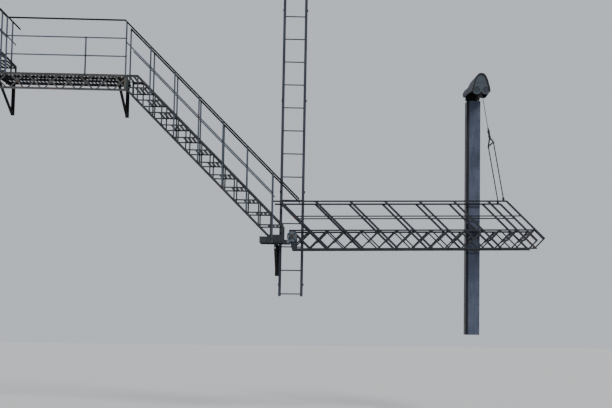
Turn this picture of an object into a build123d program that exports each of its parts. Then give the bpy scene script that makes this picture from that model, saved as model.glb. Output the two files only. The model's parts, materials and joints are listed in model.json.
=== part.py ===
from build123d import *
from math import atan2, cos, degrees, hypot, radians, sin, sqrt
import os

# Fire escape stair hung on a wall: an upper platform with the foot of the flight above it,
# a lattice flight down to a small landing, a swing stair that pivots there and is held level
# by a cable and counterweight case, and a roof ladder behind it.
# X runs along the wall to the right, Y into the wall, Z up, in millimetres.
# The origin is the middle of the wall face of the right-hand platform bracket.

# Steel sections
flat = 6.0                    # thickness of chords, lattice bars and rails
chord_leg = 32.0              # leg of the girder's angle chords
swing_chord_leg = 25.0
lattice_width = 22.0
post_width = 25.0
swing_post_width = 34.0
post_thickness = 8.0
rail_height = 25.0            # handrails, angles laid over the posts
rail_width = 38.0
mid_rail_width = 20.0
plate_thickness = 10.0        # brackets' wall plates and pivot plates

# Stair widths, measured out from the wall
wall_gap = 275.0              # wall to the inner girders' outer face
stair_width = 660.0           # over the faces of the two girders
swing_inset = 22.0            # the swing stair's girders lie this far inside the fixed ones

# Flights at 45 degrees, so the run equals the rise
riser_height = 195.0
riser_count = 13              # from the platform down to the landing
girder_depth = 308.0          # square to the chords
rail_offset = 458.0           # from the nosing line up to the handrail's middle, square to the slope
mid_rail_offset = 229.0
tread_depth = 235.0
tread_bar_width = 40.0
tread_bar_count = 4
tread_bar_thickness = 8.0
cleat_height = 22.0           # end angles of a tread
nosing_clearance = 14.0       # tread edge below the top chord's face
post_step = 2                 # treads from one post to the next

# Upper platform
deck_height = 290.0           # deck over the bracket's middle
slat_thickness = 10.0
slat_width = 32.0
slat_pitch = 58.0
deck_rim = 30.0
deck_wall_gap = 15.0
deck_overhang = 300.0         # deck edge past the right-hand bracket
bracket_spacing = 1870.0
platform_tail = 130.0         # deck past the left-hand bracket
platform_girder_depth = 250.0
bearer_spacing = 265.0        # from the outer face to each of the two middle bearers
bay_length = 270.0
guard_height = 875.0          # deck to the top rail's middle
corner_post_x = 100.0
middle_post_x = -536.0
upper_post_x = -1775.0
far_post_shift = -32.0        # the posts nearest the wall stand a little to the left

# Brackets
bracket_width = 45.0
bracket_bar = 50.0            # legs of the arm and the strut
bracket_sheet = 7.0
bracket_height = 530.0        # wall plate
wall_plate_width = 60.0
bracket_hole_spacing = 400.0
bracket_hole_radius = 9.0
landing_bracket_height = 508.0
landing_bracket_setback = 124.5  # from the landing's right end

# Foot of the flight above, cut where it runs on
upper_tread_count = 6
upper_first_post_x = -1855.0
upper_far_reach = 50.0        # the far handrail runs on past the near one

# Landing and pivot
landing_length = 380.0
landing_frame_height = 87.0
landing_frame_thickness = 8.0
landing_gap = 130.0           # landing's end to the pivot
pivot_setback = 57.0          # pivot before the point where the nosing line meets the landing
pivot_rise = 5.0              # pivot over the landing
pivot_radius = 20.0
pivot_clearance = 0.05
pivot_head_radius = 34.0
pivot_head_length = 18.0
pivot_plate_width = 156.0
pivot_plate_height = 160.0
pivot_plate_corner = 44.0
pivot_arm_height = 50.0
newel_x = 2466.0
rail_end_reach = 110.0        # handrail's end past the pivot
rail_relief = 75.0            # its top leg is cut back there, so that the swinging rail passes

# Swing stair, in its own frame: x along the stair, z square to it, pivot at the origin
rest_tilt = 1.0               # degrees up from level when raised
swing_top = 110.0             # top chord's face over the pivot
swing_extra_depth = 10.0      # its girders are this much deeper
swing_tread_count = 14
swing_first_tread = 184.0     # x minus z of the first tread's line
swing_first_bar = 107.0       # x plus z of the first falling bar
swing_newel_bar = 14          # falling bar at the newel, counted from the first
swing_newel_shift = 22.0      # newel past that bar
swing_toe = 4089.0            # x minus z of the line that rests on the ground
swing_rail_start = -290.0     # it guards the landing while the stair is up
swing_mid_rail_start = 50.0
swing_heel = 45.0             # girder past the pivot
swing_rail_offset = 450.0     # from the top chord's face up to the handrail's middle
swing_mid_rail_offset = 212.0
hub_radius = 40.0
hub_plate_width = 122.0

# Balance gear
case_width = 230.0
case_depth = 240.0
case_sheet = 4.0
case_top = 105.0
case_bottom = -3775.0
case_x = 5750.0
sheave_x = 5829.0
sheave_radius = 100.0         # to the middle of the cable
sheave_thickness = 34.0
groove_width = 28.0           # at the rim
sheave_height = 215.0
front_sheave_y = -505.0
back_sheave_y = -220.0
axle_radius = 12.0
cheek_gap = 3.0
cheek_thickness = 6.0
cheek_height = 110.0
hanger_width = 35.0           # bars that carry the hood on the cheeks
frame_plate_width = 222.0     # as wide as the case, whose top it closes to the wall
frame_plate_height = 150.0
frame_hole_x = 5720.0         # middle of its holes, left of the cheeks
frame_hole_spacing_x = 120.0
frame_hole_spacing_z = 110.0
frame_hole_radius = 7.0
cable_radius = 6.0
hood_x = 5791.0
hood_length = 880.0
hood_front = (150.0, 297.0, 165.0)  # half width, height and eaves level at the front
hood_back = (200.0, 308.0, 197.0)   # the same at the wall
hood_sheet = 4.0
hood_rim = 22.0               # edge strip round the front board
hood_rim_depth = 14.0
hood_lobe = 74.0              # radius of the front board's two lobes
hood_skirt = 53.0             # how far the lobes hang below the eaves
bridle_pin_x = 3385.0         # along the swing stair
bridle_pin_rise = 32.0        # pin over the handrail's top
bridle_pin_radius = 8.0
bridle_rod_radius = 9.0
bridle_rod_length = 915.0
bridle_eye_radius = 20.0
bridle_eye_thickness = 20.0
bridle_depth = 47.0           # rods' middle inside the stair's face
yoke_rise = 125.0
connector_length = 110.0
connector_radius = 17.0
cable_joint_z = 60.0          # where the fixed run over the sheaves ends
cable_head_length = 120.0

# Roof ladder
ladder_left_x = 2580.0
ladder_width = 357.0
ladder_depth = 172.0          # front face off the wall
ladder_leg = 45.0
rung_radius = 10.0
rung_pitch = 385.0
rung_count = 14
top_rung_z = 1863.0
ladder_head = 140.0
ladder_foot = 40.0
standoff_levels = 4
standoff_width = 40.0
standoff_foot = 100.0

# Places worked out from the sizes above
outer_face = -(wall_gap + stair_width)
inner_face = -wall_gap
middle_y = (outer_face + inner_face) / 2
web_depth = 2 * flat
deck_z = deck_height
bearing_z = deck_z - slat_thickness
platform_left = -(bracket_spacing + platform_tail)
platform_right = deck_overhang
nosing_sum = deck_overhang + deck_z
slope_depth = girder_depth * sqrt(2)
bottom_sum = nosing_sum - slope_depth
handrail_sum = nosing_sum + rail_offset * sqrt(2)
mid_rail_sum = nosing_sum + mid_rail_offset * sqrt(2)
guard_z = deck_z + guard_height
flight_start = corner_post_x + post_width / 2
landing_z = deck_z - riser_count * riser_height
pivot_x = nosing_sum - landing_z - pivot_setback
pivot_z = landing_z + pivot_rise
landing_right = pivot_x - landing_gap
landing_left = landing_right - landing_length
upper_handrail_sum = upper_post_x + guard_z
upper_nosing_sum = upper_handrail_sum - rail_offset * sqrt(2)
upper_bottom_sum = upper_nosing_sum - slope_depth
upper_end = upper_nosing_sum - deck_z - upper_tread_count * riser_height - tread_depth - 2 * nosing_clearance
swing_pitch = riser_height * sqrt(2)
swing_bottom = swing_top - girder_depth - swing_extra_depth
swing_rail_z = swing_top + swing_rail_offset
swing_mid_rail_z = swing_top + swing_mid_rail_offset
newel_sum = swing_first_bar + swing_newel_bar * swing_pitch + swing_newel_shift
bridle_pin_z = swing_rail_z + rail_height / 2 + bridle_pin_rise


# Flat pieces drawn in X and Z, given a thickness in Y
def outline(*points):
    return Polygon(*points, align=None)


def strip(start, end, width):
    """A strip of the given width along the middle line from start to end."""
    length = hypot(end[0] - start[0], end[1] - start[1])
    side_x = -(end[1] - start[1]) / length * width / 2
    side_z = (end[0] - start[0]) / length * width / 2
    return outline(
        (start[0] + side_x, start[1] + side_z),
        (start[0] - side_x, start[1] - side_z),
        (end[0] - side_x, end[1] - side_z),
        (end[0] + side_x, end[1] + side_z),
    )


def edge_band(start, end, width):
    """A band along an edge, lying to the left of the way from start to end."""
    length = hypot(end[0] - start[0], end[1] - start[1])
    along_x = (end[0] - start[0]) / length
    along_z = (end[1] - start[1]) / length
    shift = (-along_z * width / 2, along_x * width / 2)
    reach = 3 * width
    first = (start[0] + shift[0] - along_x * reach, start[1] + shift[1] - along_z * reach)
    last = (end[0] + shift[0] + along_x * reach, end[1] + shift[1] + along_z * reach)
    return strip(first, last, width)


def slope_band(left, right, top_sum, width):
    """A band at 45 degrees with upright ends, its top edge where x + z is top_sum."""
    drop = width * sqrt(2)
    return outline(
        (left, top_sum - left - drop),
        (right, top_sum - right - drop),
        (right, top_sum - right),
        (left, top_sum - left),
    )


def slab(sketch, low_y, high_y):
    face = Plane(origin=(0, high_y, 0), x_dir=(1, 0, 0), z_dir=(0, -1, 0))
    return extrude(face * sketch, amount=high_y - low_y, dir=(0, -1, 0))


def on_side(sketch, side, depth, thickness):
    """The sketch as a plate that starts at a depth inside the outer or inner face."""
    if side == "outer":
        low = outer_face + depth
    else:
        low = inner_face - depth - thickness
    return slab(sketch, low, low + thickness)


def both_sides(sketch, depth, thickness):
    return [on_side(sketch, side, depth, thickness) for side in ("outer", "inner")]


# Lattice girders: angle chords, with flat bars riveted inside them
def lattice_girder(corners, chords, bars, side, depth, leg=chord_leg):
    """corners run anticlockwise, chords names the edges that carry an inward flange."""
    shape = outline(*corners)
    edges = [(corners[i], corners[(i + 1) % len(corners)]) for i in range(len(corners))]
    legs = Sketch() + [edge_band(start, end, leg) for start, end in edges]
    flanges = Sketch() + [edge_band(*edges[i], flat) for i in chords]
    web = Sketch() + bars
    girder = on_side(legs & shape, side, depth, flat)
    girder += on_side(web & shape, side, depth + flat, flat)
    girder += on_side(flanges & shape, side, depth, leg)
    return girder


def diagonal_bars(first_rising, rising_count, first_falling, falling_count, pitch, reach):
    """Bars at 45 degrees both ways: rising ones keep x - z, falling ones keep x + z."""
    bars = []
    for i in range(rising_count):
        at = first_rising + i * pitch
        bars.append(strip((at - reach, -reach), (at + reach, reach), lattice_width))
    for i in range(falling_count):
        at = first_falling + i * pitch
        bars.append(strip((at + reach, -reach), (at - reach, reach), lattice_width))
    return bars


# One tread: bars along Y between two end cleats, its front top edge at the origin
def tread(depth):
    length = stair_width - 2 * depth
    gap = (tread_depth - tread_bar_count * tread_bar_width) / (tread_bar_count - 1)
    cleat = Box(tread_depth, flat, cleat_height, align=(Align.MAX, Align.MIN, Align.MAX))
    step = Pos(0, -length / 2, 0) * cleat
    step += Pos(0, length / 2 - flat, 0) * cleat
    for i in range(tread_bar_count):
        bar = Box(
            tread_bar_width,
            length,
            tread_bar_thickness,
            align=(Align.MAX, Align.CENTER, Align.MAX),
        )
        step += Pos(-i * (tread_bar_width + gap), 0, 0) * bar
    return Pos(0, middle_y, 0) * step


def treads_between(top_sum, first_z, count):
    front_sum = top_sum - nosing_clearance * sqrt(2)
    levels = [first_z - i * riser_height for i in range(count)]
    return [Pos(front_sum - z, 0, z) * tread(web_depth) for z in levels]


# Angle handrails: a leg on edge inside the posts and a leg on top that covers them
def rail_slope_height():
    return rail_height * sqrt(2)


def level_rail(left, right, middle_z, sides, depth=0.0):
    top = middle_z + rail_height / 2
    upright = outline((left, top - rail_height), (right, top - rail_height), (right, top), (left, top))
    cover = outline((left, top - flat), (right, top - flat), (right, top), (left, top))
    rails = []
    for side in sides:
        rail = on_side(upright, side, depth, flat)
        rail += on_side(cover, side, depth - post_thickness, rail_width)
        rails.append(rail)
    return rails


def sloping_rail(left, right, middle_sum, sides):
    top_sum = middle_sum + rail_slope_height() / 2
    rails = []
    for side in sides:
        rail = on_side(slope_band(left, right, top_sum, rail_height), side, 0, flat)
        rail += on_side(slope_band(left, right, top_sum, flat), side, -post_thickness, rail_width)
        rails.append(rail)
    return rails


def level_strip(left, right, middle_z, width):
    half = width / 2
    return outline(
        (left, middle_z - half),
        (right, middle_z - half),
        (right, middle_z + half),
        (left, middle_z + half),
    )


def post(x, bottom, top_left, top_right):
    half = post_width / 2
    return outline((x - half, bottom), (x + half, bottom), (x + half, top_right), (x - half, top_left))


def sloping_post(x, bottom_z, middle_sum):
    """A post whose top is cut to the underside of a sloping rail's top leg."""
    under = middle_sum + rail_slope_height() / 2 - flat * sqrt(2)
    half = post_width / 2
    return post(x, bottom_z, under - (x - half), under - (x + half))


# Brackets
def bracket(x, plate_middle_z, plate_height, arm_top_z, reach):
    """A wall plate, an angle arm and an angle strut from the arm's end to the plate's foot."""
    foot_z = plate_middle_z - plate_height / 2
    plate = Pos(x, 0, plate_middle_z) * Box(
        wall_plate_width,
        plate_thickness,
        plate_height,
        align=(Align.CENTER, Align.MAX, Align.CENTER),
    )
    arm_under = arm_top_z - bracket_bar
    arm_leg = outline(
        (-reach, arm_under),
        (-plate_thickness, arm_under),
        (-plate_thickness, arm_top_z),
        (-reach, arm_top_z),
    )
    strut_leg = outline(
        (-reach, arm_under - bracket_bar),
        (-plate_thickness, foot_z),
        (-plate_thickness, foot_z + bracket_bar),
        (-reach + bracket_bar, arm_under),
        (-reach, arm_under),
    )
    side = Plane.YZ.offset(x - bracket_width / 2)
    along_x = (1, 0, 0)
    arm_flange = edge_band((-plate_thickness, arm_top_z), (-reach, arm_top_z), bracket_sheet)
    strut_start = (-reach, arm_under - bracket_bar)
    strut_flange = edge_band(strut_start, (-plate_thickness, foot_z), bracket_sheet)
    legs = extrude(side * (arm_leg + strut_leg), amount=bracket_sheet, dir=along_x)
    flanges = (arm_flange & arm_leg) + (strut_flange & strut_leg)
    return plate + legs + extrude(side * flanges, amount=bracket_width, dir=along_x)


def bolt_holes(x, middle_z, spacing):
    hole = Cylinder(bracket_hole_radius, 4 * plate_thickness, rotation=(90, 0, 0))
    return [Pos(x, 0, middle_z + offset) * hole for offset in (-spacing / 2, spacing / 2)]


bracket_reach = -outer_face - web_depth
bracket_top = bearing_z - chord_leg
right_platform_bracket = bracket(0, 0, bracket_height, bracket_top, bracket_reach)
right_platform_bracket -= bolt_holes(0, 0, bracket_hole_spacing)
left_platform_bracket = Pos(-bracket_spacing, 0, 0) * right_platform_bracket
landing_bracket_x = landing_right - landing_bracket_setback
landing_bracket_top = landing_z - slat_thickness - landing_frame_height
landing_bracket_middle = landing_bracket_top - landing_bracket_height / 2
landing_bracket = bracket(
    landing_bracket_x,
    landing_bracket_middle,
    landing_bracket_height,
    landing_bracket_top,
    -outer_face,
)
landing_bracket -= bolt_holes(landing_bracket_x, landing_bracket_middle, bracket_hole_spacing)

# Upper platform
platform_bottom = bearing_z - platform_girder_depth
platform_corners = [
    (platform_left, platform_bottom),
    (flight_start, platform_bottom),
    (flight_start, bearing_z),
    (platform_left, bearing_z),
]
bay_count = int((flight_start - platform_left) / bay_length) + 3
platform_bars = [
    Pos(0, platform_bottom + platform_girder_depth / 2, 0) * bar
    for bar in diagonal_bars(
        platform_left - bay_length / 2,
        bay_count,
        platform_left - bay_length / 2,
        bay_count,
        bay_length,
        platform_girder_depth,
    )
]
platform_girder = lattice_girder(platform_corners, (0, 2), platform_bars, "outer", 0)


def deck(left, right, top_z, inner_y=inner_face):
    """Slats along Y, joined by a strip along each side."""
    length = right - left
    width = inner_y - outer_face
    rim = Box(length, deck_rim, slat_thickness, align=(Align.MIN, Align.MIN, Align.MAX))
    panel = Pos(left, outer_face, top_z) * rim
    panel += Pos(left, inner_y - deck_rim, top_z) * rim
    count = int((length - slat_width) / slat_pitch)
    pitch = (length - slat_width) / count
    slat = Box(slat_width, width, slat_thickness, align=(Align.MIN, Align.MIN, Align.MAX))
    for i in range(count + 1):
        panel += Pos(left + i * pitch, outer_face, top_z) * slat
    return panel


# The deck reaches the wall as far as the post nearest the wall
wide_deck_right = corner_post_x + far_post_shift - post_width / 2 - 4
platform_deck = deck(platform_left, wide_deck_right, deck_z, -deck_wall_gap)
platform_deck += deck(wide_deck_right, platform_right, deck_z)
joist_length = wide_deck_right - platform_left
joist = Box(joist_length, chord_leg, flat, align=(Align.MIN, Align.MAX, Align.MAX))
joist += Box(joist_length, flat, chord_leg, align=(Align.MIN, Align.MAX, Align.MAX))
joist_rows = [outer_face + bearer_spacing, outer_face + 2 * bearer_spacing, -deck_wall_gap]
platform_bearers = [Pos(platform_left, y, bearing_z) * joist for y in joist_rows]

post_foot = bearing_z - chord_leg
middle_post_top = deck_z + guard_height * 2 / 3 + mid_rail_width / 2
middle_post = post(middle_post_x, post_foot, middle_post_top, middle_post_top)
upper_post = sloping_post(upper_post_x, post_foot, upper_handrail_sum)
upper_post &= level_strip(
    upper_post_x - post_width, upper_post_x + post_width, 0, 2 * guard_z + rail_height - 2 * flat
)
corner_post = sloping_post(corner_post_x, post_foot, handrail_sum)
platform_posts = [
    on_side(sketch, "outer", -post_thickness, post_thickness)
    for sketch in (upper_post, middle_post, corner_post)
]
far_corner_post = sloping_post(corner_post_x + far_post_shift, post_foot, handrail_sum)
platform_posts.append(on_side(far_corner_post, "inner", -post_thickness, post_thickness))
rail_bend_x = handrail_sum - guard_z
platform_top_rail = level_rail(upper_post_x, rail_bend_x, guard_z, ["outer"])
platform_mid_rails = [
    on_side(
        level_strip(upper_post_x - post_width / 2, flight_start, deck_z + guard_height * share, mid_rail_width),
        "outer",
        0,
        flat,
    )
    for share in (1 / 3, 2 / 3)
]

# Main flight
flight_corners = [
    (flight_start, bottom_sum - flight_start),
    (bottom_sum - landing_z, landing_z),
    (landing_right, landing_z),
    (landing_right, nosing_sum - landing_right),
    (nosing_sum - bearing_z, bearing_z),
    (flight_start, bearing_z),
]
flight_bars = []
for i in range(1, riser_count + 1):
    upright_x = corner_post_x + i * riser_height
    flight_bars.append(strip((upright_x, landing_z), (upright_x, deck_z), lattice_width))
for i in range(1, riser_count):
    bar_z = deck_z - i * riser_height - lattice_width / 2
    flight_bars.append(strip((0, bar_z), (landing_right, bar_z), lattice_width))
flight_outer_girder = lattice_girder(flight_corners, (0, 3, 4), flight_bars, "outer", 0)
flight_inner_girder = lattice_girder(flight_corners, (0, 3, 4), flight_bars, "inner", 0)
flight_treads = treads_between(nosing_sum, deck_z - riser_height, riser_count - 1)

flight_rail_end = pivot_x + rail_end_reach
flight_handrails = sloping_rail(rail_bend_x, flight_rail_end, handrail_sum, ["outer", "inner"])
relief = level_strip(
    flight_rail_end - rail_relief, flight_rail_end, handrail_sum - flight_rail_end, 4 * rail_relief
)
flight_handrails = [
    rail - on_side(relief, side, flat + (post_thickness - 5), rail_width)
    for rail, side in zip(flight_handrails, ("outer", "inner"))
]
flight_mid_rails = both_sides(
    slope_band(
        flight_start,
        newel_x + post_width / 2,
        mid_rail_sum + mid_rail_width / sqrt(2),
        mid_rail_width,
    ),
    0,
    flat,
)
flight_posts = []
flight_post_count = int((newel_x - corner_post_x) / (post_step * riser_height))
for i in range(1, flight_post_count):
    post_x = corner_post_x + i * post_step * riser_height
    for side, x in (("outer", post_x), ("inner", post_x + far_post_shift)):
        sketch = sloping_post(x, bottom_sum - x + post_width, handrail_sum)
        flight_posts.append(on_side(sketch, side, -post_thickness, post_thickness))
newel_foot = landing_z - slat_thickness - landing_frame_height
for side, x in (("outer", newel_x), ("inner", newel_x + far_post_shift)):
    sketch = sloping_post(x, newel_foot, handrail_sum)
    flight_posts.append(on_side(sketch, side, -post_thickness, post_thickness))

# Foot of the flight above
upper_foot_x = upper_post_x + post_width / 2
upper_corners = [
    (upper_end, upper_bottom_sum - upper_end),
    (upper_bottom_sum - deck_z, deck_z),
    (upper_foot_x, deck_z),
    (upper_foot_x, upper_nosing_sum - upper_foot_x),
    (upper_end, upper_nosing_sum - upper_end),
]
upper_top_z = upper_nosing_sum - upper_end
upper_bars = []
for i in range(upper_tread_count + 1):
    upright_x = upper_first_post_x - i * riser_height
    upper_bars.append(strip((upright_x, deck_z), (upright_x, upper_top_z), lattice_width))
    bar_z = deck_z + (i + 1) * riser_height - lattice_width / 2
    upper_bars.append(strip((upper_end, bar_z), (upper_foot_x, bar_z), lattice_width))
upper_flight_outer_girder = lattice_girder(upper_corners, (0, 3), upper_bars, "outer", 0)
upper_flight_inner_girder = lattice_girder(upper_corners, (0, 3), upper_bars, "inner", 0)
upper_flight_treads = treads_between(
    upper_nosing_sum, deck_z + upper_tread_count * riser_height, upper_tread_count
)
upper_flight_handrails = sloping_rail(upper_end, upper_post_x, upper_handrail_sum, ["outer"])
upper_flight_handrails += sloping_rail(
    upper_end, upper_post_x + upper_far_reach, upper_handrail_sum, ["inner"]
)
upper_mid_rail_sum = upper_nosing_sum + mid_rail_offset * sqrt(2)
upper_flight_mid_rails = both_sides(
    slope_band(
        upper_end,
        upper_post_x - post_width / 2,
        upper_mid_rail_sum + mid_rail_width / sqrt(2),
        mid_rail_width,
    ),
    0,
    flat,
)
upper_flight_posts = []
upper_post_count = int((upper_first_post_x - upper_end) / (post_step * riser_height)) + 1
for i in range(upper_post_count):
    post_x = upper_first_post_x - i * post_step * riser_height
    foot_z = max(deck_z, upper_bottom_sum - post_x + post_width)
    sketch = sloping_post(post_x, foot_z, upper_handrail_sum)
    upper_flight_posts += both_sides(sketch, -post_thickness, post_thickness)

# Landing
landing_deck = deck(landing_left, landing_right, landing_z)
landing_top = landing_z - slat_thickness
landing_sides = Pos(landing_left, middle_y, landing_top) * Box(
    landing_length,
    stair_width,
    landing_frame_height,
    align=(Align.MIN, Align.CENTER, Align.MAX),
)
landing_hollow = Pos(landing_left + landing_frame_thickness, middle_y, landing_top) * Box(
    landing_length - 2 * landing_frame_thickness,
    stair_width - 2 * landing_frame_thickness,
    landing_frame_height,
    align=(Align.MIN, Align.CENTER, Align.MAX),
)
landing_frame = landing_sides - landing_hollow

# Pivot
def clipped_plate(width, height, corner):
    plate = Rectangle(width, height)
    return chamfer(plate.vertices(), length=corner)


plate_left = newel_x + post_width / 2
arm_right = pivot_x - pivot_plate_width / 2 + pivot_plate_corner
arm_foot = landing_z - slat_thickness - landing_frame_height
plate_outline = Pos(pivot_x, pivot_z) * clipped_plate(
    pivot_plate_width, pivot_plate_height, pivot_plate_corner
)
plate_outline += outline(
    (plate_left, arm_foot),
    (arm_right, arm_foot),
    (arm_right, arm_foot + pivot_arm_height),
    (plate_left, arm_foot + pivot_arm_height),
)
plate_outline -= Pos(pivot_x, pivot_z) * Circle(pivot_radius + pivot_clearance)
pivot_plates = both_sides(plate_outline, -plate_thickness, plate_thickness)
shaft_end = plate_thickness + pivot_head_length
pivot_shaft = slab(
    Pos(pivot_x, pivot_z) * Circle(pivot_radius),
    outer_face - shaft_end,
    inner_face + shaft_end,
)
pivot_shaft += both_sides(
    Pos(pivot_x, pivot_z) * Circle(pivot_head_radius), -shaft_end, pivot_head_length
)

# Roof ladder
ladder_top = top_rung_z + ladder_head
ladder_bottom = top_rung_z - (rung_count - 1) * rung_pitch - ladder_foot
ladder_height = ladder_top - ladder_bottom
ladder_rails = []
for rail_x, align_x in ((ladder_left_x, Align.MIN), (ladder_left_x + ladder_width, Align.MAX)):
    direction = 1 if align_x == Align.MIN else -1
    edge_x = rail_x - direction * ladder_leg / 2
    face = Pos(edge_x, -ladder_depth, ladder_bottom) * Box(
        ladder_leg, flat, ladder_height, align=(align_x, Align.MIN, Align.MIN)
    )
    inner_x = edge_x + direction * (ladder_leg - flat)
    back = Pos(inner_x, -ladder_depth, ladder_bottom) * Box(
        flat, ladder_leg, ladder_height, align=(align_x, Align.MIN, Align.MIN)
    )
    ladder_rails.append(face + back)
rung_start = ladder_left_x + ladder_leg / 2
rung_length = ladder_width - ladder_leg
rung_y = -ladder_depth + ladder_leg / 2 + flat / 2
ladder_rungs = [
    Pos(rung_start + rung_length / 2, rung_y, top_rung_z - i * rung_pitch)
    * Cylinder(rung_radius, rung_length, rotation=(0, 90, 0))
    for i in range(rung_count)
]
ladder_standoffs = []
standoff_step = (ladder_height - 2 * rung_pitch) / (standoff_levels - 1)
for level in range(standoff_levels):
    level_z = ladder_bottom + rung_pitch / 2 + level * (standoff_step + rung_pitch / (standoff_levels - 1) / 2)
    for direction, rail_x in ((1, ladder_left_x), (-1, ladder_left_x + ladder_width)):
        arm_x = rail_x + direction * (ladder_leg / 2 - flat)
        align_x = Align.MAX if direction == 1 else Align.MIN
        arm = Pos(arm_x, -ladder_depth + flat, level_z) * Box(
            flat, ladder_depth - flat, standoff_width, align=(align_x, Align.MIN, Align.CENTER)
        )
        foot = Pos(arm_x, 0, level_z) * Box(
            standoff_foot / 2, flat, standoff_width, align=(align_x, Align.MAX, Align.CENTER)
        )
        ladder_standoffs.append(arm + foot)

# Counterweight case, open at the top for the cable
case_height = case_top - case_bottom
counterweight_case = Pos(case_x, 0, case_bottom) * Box(
    case_width, case_depth, case_height, align=(Align.CENTER, Align.MAX, Align.MIN)
)
counterweight_case -= Pos(case_x, -case_sheet, case_bottom + case_sheet) * Box(
    case_width - 2 * case_sheet,
    case_depth - 2 * case_sheet,
    case_height,
    align=(Align.CENTER, Align.MAX, Align.MIN),
)

# Sheaves in a frame of two cheeks on a wall plate
cheek_x = sheave_thickness / 2 + cheek_gap
cheek_length = -front_sheave_y + sheave_radius / 2
sheave_frame = Pos(case_x, 0, sheave_height) * Box(
    frame_plate_width,
    plate_thickness,
    frame_plate_height,
    align=(Align.CENTER, Align.MAX, Align.CENTER),
)
for direction in (-1, 1):
    sheave_frame += Pos(
        sheave_x + direction * (cheek_x + cheek_thickness / 2), -plate_thickness, sheave_height
    ) * Box(
        cheek_thickness,
        cheek_length - plate_thickness,
        cheek_height,
        align=(Align.CENTER, Align.MAX, Align.CENTER),
    )
frame_hole = Cylinder(frame_hole_radius, 4 * plate_thickness, rotation=(90, 0, 0))
for offset_x in (-frame_hole_spacing_x / 2, frame_hole_spacing_x / 2):
    for offset_z in (-frame_hole_spacing_z / 2, frame_hole_spacing_z / 2):
        sheave_frame -= Pos(frame_hole_x + offset_x, 0, sheave_height + offset_z) * frame_hole
axle = Cylinder(axle_radius, 2 * (cheek_x + cheek_thickness), rotation=(0, 90, 0))
for sheave_y in (front_sheave_y, back_sheave_y):
    sheave_frame += Pos(sheave_x, sheave_y, sheave_height) * axle


def sheave(y):
    """A grooved wheel that turns on an axle along X."""
    half = sheave_thickness / 2
    rim = sheave_radius + cable_radius
    seat = cable_radius + 0.3
    profile = Polyline(
        (axle_radius + pivot_clearance, -half),
        (rim, -half),
        (rim, -groove_width / 2),
        (sheave_radius - seat, -seat),
        (sheave_radius - seat, seat),
        (rim, groove_width / 2),
        (rim, half),
        (axle_radius + pivot_clearance, half),
        close=True,
    )
    wheel = revolve(Plane.XZ * make_face(profile), Axis.Z, 360)
    return Pos(sheave_x, y, sheave_height) * (Rot(0, 90, 0) * wheel)


sheaves = [sheave(front_sheave_y), sheave(back_sheave_y)]

# Hood over the sheaves: a pointed roof, flared at the wall, with a shaped front board
front_shape = [(1.0, 0.0), (0.97, 0.12), (0.91, 0.26), (0.72, 0.62), (0.50, 0.86), (0.27, 0.97), (0.0, 1.0)]
back_shape = [(0.94, 0.0), (1.0, 0.17), (0.86, 0.37), (0.56, 0.55), (0.36, 0.82), (0.16, 0.96), (0.0, 1.0)]


def hood_section(share, inset=0.0):
    """The hood's outline at a share of the way from its front to the wall."""
    half, height, eaves = [front + share * (back - front) for front, back in zip(hood_front, hood_back)]
    shape = [
        (front[0] + share * (back[0] - front[0]), front[1] + share * (back[1] - front[1]))
        for front, back in zip(front_shape, back_shape)
    ]
    right = [((half - inset) * across, eaves + (height - 1.3 * inset) * up) for across, up in shape]
    points = right + [(-x, z) for x, z in reversed(right[:-1])]
    plane = Plane(origin=(hood_x, -hood_length * (1 - share), 0), x_dir=(1, 0, 0), z_dir=(0, -1, 0))
    return plane * outline_flat(points)


def outline_flat(points):
    return make_face(Polyline(*points, close=True))


hood_space = loft([hood_section(0, hood_sheet), hood_section(1, hood_sheet)], ruled=True)
sheave_hood = loft([hood_section(0), hood_section(1)], ruled=True) - hood_space
rim_share = hood_rim_depth / hood_length
rim = hood_section(0) - hood_section(0, hood_rim)
board = hood_section(rim_share, hood_sheet)
for direction in (-1, 1):
    lobe_z = hood_front[2] - hood_skirt + hood_lobe
    lobe_plane = Plane(
        origin=(hood_x, -hood_length + hood_rim_depth, 0), x_dir=(1, 0, 0), z_dir=(0, -1, 0)
    )
    board += lobe_plane * (Pos(direction * (hood_front[0] - hood_sheet - hood_lobe), lobe_z) * Circle(hood_lobe))
sheave_hood += extrude(rim, amount=hood_rim_depth, dir=(0, 1, 0))
sheave_hood += extrude(board, amount=hood_sheet, dir=(0, 1, 0))
back_board = extrude(hood_section(1, hood_sheet), amount=hood_sheet, dir=(0, -1, 0))
back_board -= Pos(hood_x, 0, case_top + hood_sheet) * Box(
    4 * hood_back[0], hood_length, hood_length, align=(Align.CENTER, Align.CENTER, Align.MAX)
)
back_board -= Pos(case_x, 0, sheave_height) * Box(
    frame_plate_width + hood_sheet, hood_length / 2, frame_plate_height + hood_sheet
)
sheave_hood += back_board & hood_space

for hanger_y in (-cheek_length + hanger_width, front_sheave_y / 6):
    for direction in (-1, 1):
        hanger = Pos(sheave_x + direction * (cheek_x + cheek_thickness / 2), hanger_y, sheave_height)
        hanger *= Box(
            cheek_thickness,
            hanger_width,
            2 * hood_back[1],
            align=(Align.CENTER, Align.CENTER, Align.MIN),
        )
        sheave_frame += hanger & hood_space

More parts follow.
